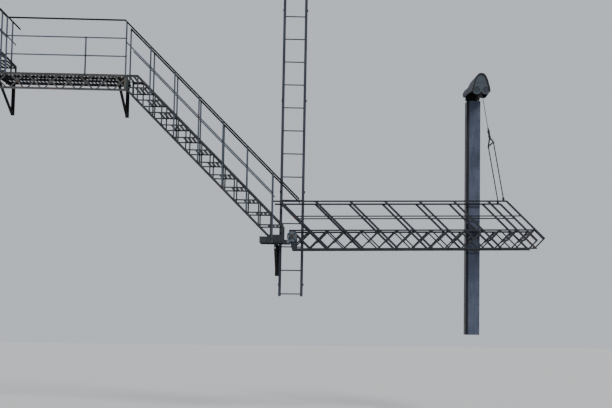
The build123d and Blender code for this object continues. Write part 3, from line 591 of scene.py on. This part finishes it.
def rivetPlatform():
    low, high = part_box("platform_girder")
    middle, half = (low.z + high.z) / 2, (high.z - low.z) / 2
    bay, leg = platform["bay"], stair["chordLeg"] / 2
    lines = [lowDeck.x - bay / 2 + i * bay for i in range(platform["bays"])]
    onChords, crossings = [], []
    for z in (leg - half, half - leg):
        onChords += [(line + z, middle + z) for line in lines]
        onChords += [(line - z, middle + z) for line in lines]
    for up in lines:
        for down in lines:
            x, z = (up + down) / 2, (down - up) / 2
            if abs(z) < half - 2 * leg:
                crossings.append((x, middle + z))
    inside = [point for point in apart(onChords) if low.x + leg < point[0] < high.x - leg]
    crossings = [point for point in crossings if low.x + 2 * leg < point[0] < high.x - 2 * leg]
    rivetLattice("fixed_stair", ("outer",), 0.0, inside, crossings)


# Bolts through the posts: at both chords and at each rail
def boltFlightPosts():
    depth = -stair["postPlate"]
    chordIn = stair["chordLeg"] / root2
    step = 2 * stair["riser"]
    for side, shift in (("outer", 0.0), ("inner", stair["farShift"])):
        first = stair["cornerPost"] + shift
        posts = [first + i * step for i in range(stair["posts"])] + [stair["newel"] + shift]
        for x in posts:
            lines = (midRailSum, handrailSum - stair["railBolt"])
            if x > first:
                lines += (bottomSum + chordIn + stair["footRise"], noseSum - chordIn)
            for line in lines:
                z = max(line - x, landingZ - stair["footBolt"])
                place(bolts, "fixed_stair", side, x, z, depth)
        foot = upperBottomSum + chordIn + stair["footRise"]
        rail = upperRailSum - stair["railBolt"]
        for x in [upper["firstPost"] - i * step for i in range(upper["posts"])]:
            for line in (foot, upperNoseSum - chordIn, upperMidSum, rail):
                if line - x > deckZ:
                    place(bolts, "fixed_stair", side, x, line - x, depth)


def boltPlatformPosts():
    depth, leg = -stair["postPlate"], stair["chordLeg"] / 2
    posts = {upper["railTurn"]: 2, platform["middlePost"]: 2, stair["cornerPost"]: 1}
    for x, rails in posts.items():
        for i in range(rails):
            z = deckZ + upper["guard"] * ((i + 1) / 3)
            place(bolts, "fixed_stair", "outer", x, z, depth)
    for x in posts:
        place(bolts, "fixed_stair", "outer", x, bearingZ - leg, depth)


def boltSwingPosts():
    depth = swing["inset"] - stair["postPlate"]
    leg = swing["chordLeg"] / 2
    heights = (
        swing["bottom"] + leg,
        swing["top"] - leg,
        swing["midRail"],
        swing["rail"] - swing["railBolt"],
    )
    posts = [swing["firstBar"] + i * swingPitch for i in range(1, swing["treads"], 2)]
    for side in ("outer", "inner"):
        for line in posts + [newelSum]:
            for z in heights:
                if line != newelSum or z > 0:
                    place(bolts, "swing_stair", side, line - z, z, depth)


# Bolts that hold each tread's end angles to the girders
def boltTreads():
    frontSum = noseSum - stair["noseGap"] * root2
    upperFront = upperNoseSum - stair["noseGap"] * root2
    levels = [(frontSum, deckZ - i * stair["riser"]) for i in range(1, stair["risers"])]
    levels += [(upperFront, deckZ + i * stair["riser"]) for i in range(1, upper["treads"] + 1)]
    top = swing["top"] - stair["noseGap"]
    down = swing["cleat"] / root2
    for side in ("outer", "inner"):
        for front, z in levels:
            for back in stair["treadHoles"]:
                x = front - z - back
                place(bolts, "fixed_stair", side, x, z - stair["cleat"], stair["plate"])
        for i in range(swing["treads"]):
            line = swing["firstTread"] + i * swingPitch
            for back in stair["treadHoles"]:
                along = back / root2
                x, z = line + top - along + down, top - along - down
                place(rivets, "swing_stair", side, x, z, swing["inset"] + stair["plate"])


deck = {"slat": 0.032, "pitch": 0.058, "rim": 0.015, "postGap": 0.004}


# Rivets that hold the decks' slats to their rims
def rivetDecks():
    up = Vector((0.0, 0.0, 1.0))
    wide, pitch, rim = deck["slat"], deck["pitch"], deck["rim"]
    split = stair["cornerPost"] + stair["farShift"] - stair["postWidth"] / 2 - deck["postGap"]
    rows = (
        (lowDeck.x, split, deckZ, lowDeck.y + rim, highDeck.y - rim),
        (split, highDeck.x, deckZ, lowDeck.y + rim, faces["inner"][0] - rim),
        (lowLanding.x, highLanding.x, landingZ, lowLanding.y + rim, highLanding.y - rim),
    )
    for left, right, z, front, back in rows:
        count = int((right - left - wide) / pitch)
        step = (right - left - wide) / count
        for i in range(count + 1):
            for y in (front, back):
                rivets["fixed_stair"].append((Vector((left + wide / 2 + i * step, y, z)), up))


ladder = {
    "pitch": 0.385,
    "topRung": 1.863,
    "rungs": 14,
    "leg": 0.045,
    "web": 0.006,
    "front": -0.172,
    "firstFoot": -2.9895,
    "footStep": 1.5358,
    "feet": 4,
    "footIn": 0.022,
}


# The rungs' ends, riveted over, and the bolts in the standoffs' feet
def rivetLadder():
    left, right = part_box("ladder_rungs")[0].x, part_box("ladder_rungs")[1].x
    web = ladder["web"]
    y = ladder["front"] + ladder["leg"] / 2 + web / 2
    for i in range(ladder["rungs"]):
        z = ladder["topRung"] - i * ladder["pitch"]
        for x, way in ((left - web, -1.0), (right + web, 1.0)):
            rivets["fixed_stair"].append((Vector((x, y, z)), Vector((way, 0.0, 0.0))))
    low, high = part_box("ladder_standoffs")
    for i in range(ladder["feet"]):
        z = ladder["firstFoot"] + i * ladder["footStep"]
        for x in (low.x + ladder["footIn"], high.x - ladder["footIn"]):
            bolts["fixed_stair"].append((Vector((x, -web, z)), Vector((0.0, -1.0, 0.0))))


case = {"edge": 0.012, "step": 0.155}


# Two rows of rivets down the case's front
def rivetCase():
    low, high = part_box("counterweight_case")
    out = Vector((0.0, -1.0, 0.0))
    tall = high.z - low.z - 2 * case["edge"]
    rows = int(tall / case["step"])
    for i in range(rows + 1):
        z = low.z + case["edge"] + i * tall / rows
        for x in (low.x + case["edge"], high.x - case["edge"]):
            rivets["fixed_stair"].append((Vector((x, low.y, z)), out))


hood = {
    "front": -0.880,
    "middle": 5.791,
    "eaves": 0.165,
    "half": 0.150,
    "height": 0.297,
    "inset": 0.011,
    "topInset": 0.0143,
    "rim": (
        (0.97, 0.12),
        (0.91, 0.26),
        (0.815, 0.44),
        (0.72, 0.62),
        (0.61, 0.74),
        (0.50, 0.86),
        (0.27, 0.97),
    ),
}


# Rivets along the hood's front rim, in shares of its half width and its height
def rivetHood():
    out = Vector((0.0, -1.0, 0.0))
    shape = list(hood["rim"])
    for wide, tall in shape + [(-wide, tall) for wide, tall in shape] + [(0.0, 1.0)]:
        x = hood["middle"] + (hood["half"] - hood["inset"]) * wide
        z = hood["eaves"] + (hood["height"] - hood["topInset"]) * tall
        rivets["fixed_stair"].append((Vector((x, hood["front"], z)), out))


pivotPlates = {
    "thick": 0.010,
    "ring": 0.058,
    "bolts": 4,
    "armBolts": (2.500, 2.560, 2.620),
    "armDrop": 0.072,
}


# Bolts round the shaft in each pivot plate, and in the plate's arm on the landing
def boltPivot():
    thick, ring, count = pivotPlates["thick"], pivotPlates["ring"], pivotPlates["bolts"]
    for side in ("outer", "inner"):
        for i in range(count):
            angle = math.tau * (i + 0.5) / count
            x, z = pivot.x + ring * math.cos(angle), pivot.z + ring * math.sin(angle)
            place(bolts, "fixed_stair", side, x, z, -thick)
        for x in pivotPlates["armBolts"]:
            place(bolts, "fixed_stair", side, x, landingZ - pivotPlates["armDrop"], -thick)


nuts = {"fixed_stair": [], "swing_stair": [], "bridle": []}
joints = {entry["name"]: entry for entry in frame["record"]["behaviour"]["joints"]}
pin = Vector(joints["bridle_hinge"]["pos_m"])
pull = Vector(joints["cable_feed"]["axis"])
bridle = {"yoke": 0.914, "cable": 1.150, "head": 1.543, "rod": 0.020}
sheave = {
    "x": 5.829,
    "z": 0.215,
    "radius": 0.100,
    "front": -0.605,
    "back": -0.120,
    "foot": -0.125,
    "turn": 9,
    "axleEnd": 0.009,
}


# A point on the line from the bridle's pins up to the front sheave
def onFall(distance, y=None):
    spot = pin + pull * distance
    return Vector((spot.x, sheave["front"] if y is None else y, spot.z))


# Nuts on the studs of the wall plates, the sheaves' axles and the bridle
def nutWalls():
    out = Vector((0.0, -1.0, 0.0))
    for mount in frame["record"]["mounts"]:
        if mount["kind"] != "bolt_pattern":
            continue
        sizes = mount["dims"]
        tall = sizes.get("spacing_y_mm", 0) / 2000
        wide = sizes.get("spacing_x_mm", 0) / 2000
        middle = Vector(mount["pos_m"])
        for x in {-wide, wide}:
            for z in (-tall, tall):
                stud = middle + Vector((x, -stair["wallPlate"], z))
                nuts["fixed_stair"].append((stud, out))


def nutSheaves():
    low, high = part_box("sheaves")
    out = sheave["axleEnd"]
    for y in (sheave["front"] + sheave["radius"], sheave["back"] - sheave["radius"]):
        for x, way in ((low.x - out, -1.0), (high.x + out, 1.0)):
            nuts["fixed_stair"].append((Vector((x, y, sheave["z"])), Vector((way, 0.0, 0.0))))


def nutBridle():
    low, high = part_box("bridle_rods")
    for y in (low.y + bridle["rod"] / 2, high.y - bridle["rod"] / 2):
        nuts["bridle"].append((onFall(bridle["yoke"], y), -pull))
    x, z, outside, inside = swing["bridlePin"]
    for side in ("outer", "inner"):
        place(bolts, "swing_stair", side, x, z, outside)
        place(nuts, "swing_stair", side, x, z, inside, outward=False)


# Whether a rivet's place is on the main flight's girders, and on those of the upper flight
def onMain(x, z):
    clear = stair["clear"]
    start = stair["cornerPost"] + clear / 2
    return landingZ + clear < z < bearingZ - clear and start < x < highLanding.x - clear


def onUpper(x, z):
    clear = stair["clear"]
    return z > deckZ + clear and upperCut + clear < x < upper["railTurn"] - clear


rivetFlight(
    [stair["cornerPost"] + i * stair["riser"] for i in range(1, stair["risers"] + 1)],
    [deckZ - i * stair["riser"] - stair["barWidth"] / 2 for i in range(1, stair["risers"])],
    bottomSum,
    noseSum,
    onMain,
)
rivetFlight(
    [upper["firstPost"] - i * stair["riser"] for i in range(upper["treads"] + 1)],
    [deckZ + i * stair["riser"] - stair["barWidth"] / 2 for i in range(1, upper["treads"] + 2)],
    upperBottomSum,
    upperNoseSum,
    onUpper,
)
rivetSwing()
rivetPlatform()
boltFlightPosts()
boltPlatformPosts()
boltSwingPosts()
boltTreads()
rivetDecks()
rivetLadder()
rivetCase()
rivetHood()
boltPivot()
nutWalls()
nutSheaves()
nutBridle()

# The heads themselves; each drum is sunk a little into the one under it
headSizes = {
    "rivets": {"radius": 0.0085, "height": 0.0055},
    "bolts": {"radius": 0.0105, "height": 0.0065, "washer": 0.0135},
    "nuts": {"radius": 0.0140, "height": 0.0130, "stud": 0.0080},
}
sunk = 0.0001


def rivetTree():
    grower = Grower("rivetHeads", headSizes["rivets"])
    radius, height = grower.sizes["radius"], grower.sizes["height"]
    ball = grower.node("GeometryNodeMeshUVSphere", Segments=10, Rings=6, Radius=1.0)
    spot = grower.node("GeometryNodeInputPosition")
    x, y, z = (grower.part(spot, i) for i in range(3))
    dome = grower.vector(x * radius, y * radius, z.maths("MAXIMUM", z, -0.08) * height)
    head = grower.node("GeometryNodeSetPosition", Geometry=ball, Position=dome)
    grower.finish(grower.onPoints(head))
    return grower


def boltTree():
    grower = Grower("boltHeads", headSizes["bolts"])
    radius, height, washer = (grower.sizes[key] for key in ("radius", "height", "washer"))
    thick, bevel = 0.002, 0.0008
    ring = grower.drum(washer, thick, thick / 2, 14)
    head = grower.drum(radius, height, height * 0.5 + (thick - sunk), 6)
    crown = grower.drum(radius * 0.8, bevel, height + (thick + bevel / 2 - 2 * sunk), 12)
    grower.finish(grower.onPoints(grower.join(ring, head, crown)), smooth=False)
    return grower


def nutTree():
    grower = Grower("nuts", headSizes["nuts"])
    radius, height, stud = (grower.sizes[key] for key in ("radius", "height", "stud"))
    thick, bevel, chamfer = 0.003, 0.0012, 0.0014
    ring = grower.drum(radius * 1.4, thick, thick / 2, 20)
    nut = grower.drum(radius, height, height * 0.5 + (thick - sunk), 6)
    crown = grower.drum(radius * 0.84, bevel, height + (thick + bevel / 2 - 2 * sunk), 16)
    end = grower.drum(stud, height * 1.7, height * 0.85, 12)
    tip = grower.drum(stud * 0.86, chamfer, height * 1.7 + (chamfer / 2 - sunk), 12)
    grower.finish(grower.onPoints(grower.join(ring, nut, crown, end, tip)), smooth=False)
    return grower


headPaint = finishes["girderPaint"]
for label, tree, spots in (
    ("rivets", rivetTree(), rivets),
    ("bolts", boltTree(), bolts),
    ("nuts", nutTree(), nuts),
):
    for body, entries in spots.items():
        title = body.replace("_stair", "") + label.capitalize()
        seed = seedMesh(title, entries)
        grow(tree, title, seed, headSizes[label], headPaint, body)
print("fasteners done")

# Wire rope: six strands laid round the path, over the sheaves and down to the bridle
rope = {
    "radius": 0.006,
    "lay": 0.080,
    "step": 0.011,
    "crease": 0.20,
    "points": 36,
    "strands": 6,
    "rigid": 0.020,
}


def overSheaves():
    x, radius, stops = sheave["x"], sheave["radius"], sheave["turn"]
    path = [Vector((x, sheave["back"], sheave["foot"]))]
    for y, start in ((sheave["back"] - radius, 0.0), (sheave["front"] + radius, 90.0)):
        for i in range(stops):
            angle = math.radians(start + 90.0 * i / (stops - 1))
            z = sheave["z"] + radius * math.sin(angle)
            path.append(Vector((x, y + radius * math.cos(angle), z)))
    return path


def ropeTree():
    grower = Grower("wireRope", ("radius", "lay", "step"))
    sizes, points, crease = grower.sizes, rope["points"], rope["crease"]
    byRadius = {"mode": "RADIUS"}
    ring = grower.node("GeometryNodeCurvePrimitiveCircle", byRadius, Resolution=points, Radius=1.0)
    index = grower.node("GeometryNodeInputIndex")
    wave = index.maths("SINE", index * (math.pi * rope["strands"] / points))
    lobe = wave.maths("ABSOLUTE", wave) * crease + (1.0 - crease)
    spot = grower.node("GeometryNodeInputPosition")
    size = lobe * sizes["radius"]
    scaled = grower.node("ShaderNodeVectorMath", {"operation": "SCALE"}, Vector=spot, Scale=size)
    strands = grower.node("GeometryNodeSetPosition", Geometry=ring, Position=scaled)
    path = grower.node("GeometryNodeMeshToCurve", Mesh=grower.start)
    step = sizes["step"]
    path = grower.node("GeometryNodeResampleCurve", {"mode": "LENGTH"}, Curve=path, Length=step)
    along = grower.node("GeometryNodeSplineParameter", output=1)
    turns = along * math.tau / sizes["lay"]
    path = grower.node("GeometryNodeSetCurveTilt", Curve=path, Tilt=turns)
    ends = {"Profile_Curve": strands, "Fill_Caps": True}
    grower.finish(grower.node("GeometryNodeCurveToMesh", Curve=path, **ends))
    return grower


ropeGrower = ropeTree()
ropeSizes = {key: rope[key] for key in ("radius", "lay", "step")}


def layRope(name, path, body):
    mesh = bpy.data.meshes.new(name)
    mesh.from_pydata(path, [(i, i + 1) for i in range(len(path) - 1)], [])
    return grow(ropeGrower, name, mesh, ropeSizes, finishes["ropeSteel"], body)


fixedRope = layRope("fixedRope", overSheaves(), "fixed_stair")
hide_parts("hoist_cable")
# The moving run reaches the front sheave, at both limits
onSheave = Vector((sheave["x"], sheave["front"], sheave["z"]))
headRope = layRope("headRope", [onFall(bridle["head"]), onSheave], "cable_end")
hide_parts("cable_head")
fallRope = layRope("fallRope", [onFall(bridle["cable"]), onFall(bridle["head"])], None)
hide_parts("cable_fall")
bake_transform(fallRope)
print("wire rope done")


# A closed solid built face by face, made into a piece that rides a body
def solidPiece(name, made, isSmooth, finish, body):
    bmesh.ops.recalc_face_normals(made, faces=made.faces)
    mesh = bpy.data.meshes.new(name)
    made.to_mesh(mesh)
    made.free()
    for face in mesh.polygons:
        face.use_smooth = isSmooth(face)
    mesh.materials.append(finish)
    piece = bpy.data.objects.new(name, mesh)
    bpy.context.scene.collection.objects.link(piece)
    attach(piece, body)


# The faces between two rings or outlines, and the caps at the ends of a stack of them
def bridge(made, low, high):
    count = len(low)
    for i in range(count):
        after = (i + 1) % count
        made.faces.new((low[i], low[after], high[after], high[i]))


def stack(made, rings):
    for low, high in zip(rings, rings[1:]):
        bridge(made, low, high)
    made.faces.new(list(reversed(rings[0])))
    made.faces.new(rings[-1])


# Turned fittings on the bridle's line: collars of the connector and the rope's sleeve,
# each by its distances along the line and its radii there
fitting = {
    "sides": 28,
    "lowCollar": ((1.036, 0.019), (1.040, 0.024), (1.058, 0.024), (1.064, 0.0172)),
    "highCollar": ((1.120, 0.0172), (1.126, 0.023), (1.146, 0.023), (1.152, 0.018)),
    "sleeve": ((1.150, 0.0125), (1.154, 0.0135), (1.188, 0.0120), (1.204, 0.0075)),
}


def turned(name, profile):
    made = bmesh.new()
    aside = pull.orthogonal().normalized()
    beside = pull.cross(aside)
    rings = []
    for distance, radius in profile:
        ring = []
        for i in range(fitting["sides"]):
            angle = math.tau * i / fitting["sides"]
            out = aside * math.cos(angle) + beside * math.sin(angle)
            ring.append(made.verts.new(onFall(distance) + out * radius))
        rings.append(ring)
    stack(made, rings)
    steel = finishes["rodSteel"]
    solidPiece(name, made, lambda face: len(face.vertices) == 4, steel, "bridle")


# Relief of the hood's front board: a bead round each disc, and a chamfered batten over them
board = {
    "face": -0.866,
    "bead": 0.0035,
    "segments": 44,
    "tube": 8,
    "halfBatten": 0.088,
    "lowBatten": 0.303,
    "highBatten": 0.317,
    "batten": 0.006,
}


def addBead(made, x, z):
    rings = []
    for i in range(board["segments"]):
        turn = math.tau * i / board["segments"]
        ring = []
        for j in range(board["tube"]):
            lean = math.tau * j / board["tube"]
            radius = hoodPaint["discSize"] + board["bead"] * math.cos(lean)
            depth = board["face"] - board["bead"] * (0.5 + math.sin(lean))
            spot = (x + radius * math.cos(turn), depth, z + radius * math.sin(turn))
            ring.append(made.verts.new(spot))
        rings.append(ring)
    for ring, after in zip(rings, rings[1:] + rings[:1]):
        bridge(made, ring, after)


def addBatten(made):
    half, low, high = board["halfBatten"], board["lowBatten"], board["highBatten"]
    narrow, thick = half * 0.93, board["batten"]
    outline = ((-half, low, 1), (half, low, 1), (narrow, high, -1), (-narrow, high, -1))
    levels = []
    for depth, inset in ((0.0, 0.0), (0.6 * thick, 0.0), (thick, 0.35 * thick)):
        level = []
        for x, z, way in outline:
            spot = (hood["middle"] + x - math.copysign(inset, x), board["face"] - depth, z + way * inset)
            level.append(made.verts.new(spot))
        levels.append(level)
    stack(made, levels)


def makeBoardTrim():
    made = bmesh.new()
    for x, y, z in hoodPaint["discs"]:
        addBead(made, x, z)
    beads = len(made.faces)
    addBatten(made)
    trim = finishes["trimPaint"]
    solidPiece("hoodBoardTrim", made, lambda face: face.index < beads, trim, "fixed_stair")


makeBoardTrim()
for name in ("lowCollar", "highCollar", "sleeve"):
    turned("rope" + name.capitalize(), fitting[name])
print("fittings done")


# Floor, light and camera
def makeFloor():
    half = floor["size"] / 2
    ground = bpy.data.meshes.new("floor")
    corners = [(-half, -half), (half, -half), (half, half), (-half, half)]
    spots = [(x + floor["middle"], y, floor["height"]) for x, y in corners]
    ground.from_pydata(spots, [], [(0, 1, 2, 3)])
    plane = bpy.data.objects.new("floor", ground)
    bpy.context.scene.collection.objects.link(plane)
    plain = bpy.data.materials.new("floor")
    plain.use_nodes = True
    shader = plain.node_tree.nodes["Principled BSDF"]
    shader.inputs["Base Color"].default_value = floor["color"]
    shader.inputs["Roughness"].default_value = floor["roughness"]
    ground.materials.append(plain)


def makeLight():
    world = bpy.data.worlds.new("sky")
    world.use_nodes = True
    sky = world.node_tree.nodes["Background"]
    sky.inputs["Color"].default_value = light["sky"]
    sky.inputs["Strength"].default_value = light["strength"]
    bpy.context.scene.world = world
    sun = bpy.data.lights.new("sun", "SUN")
    sun.energy = light["sun"]
    sun.angle = math.radians(light["soft"])
    lamp = bpy.data.objects.new("sun", sun)
    lamp.rotation_euler = (math.radians(light["tip"]), math.radians(light["swing"]), 0)
    bpy.context.scene.collection.objects.link(lamp)


def makeCamera():
    yaw, pitch, roll = (math.radians(camera[key]) for key in ("yaw", "pitch", "roll"))
    flatly = math.cos(pitch)
    ahead = Vector((math.sin(yaw) * flatly, math.cos(yaw) * flatly, math.sin(pitch)))
    level = Vector((math.cos(yaw), -math.sin(yaw), 0.0))
    above = level.cross(ahead)
    right = level * math.cos(roll) + above * math.sin(roll)
    up = above * math.cos(roll) - level * math.sin(roll)
    lens = bpy.data.cameras.new("camera")
    lens.lens = camera["lens"]
    lens.sensor_width = camera["sensor"]
    lens.shift_x, lens.shift_y = camera["shift"]
    lens.clip_end = camera["clipEnd"]
    eye = bpy.data.objects.new("camera", lens)
    turn = Matrix((right, up, -ahead)).transposed().to_4x4()
    eye.matrix_world = Matrix.Translation(camera["place"]) @ turn
    bpy.context.scene.collection.objects.link(eye)
    bpy.context.scene.camera = eye


makeFloor()
makeLight()
makeCamera()
print("stage ready")
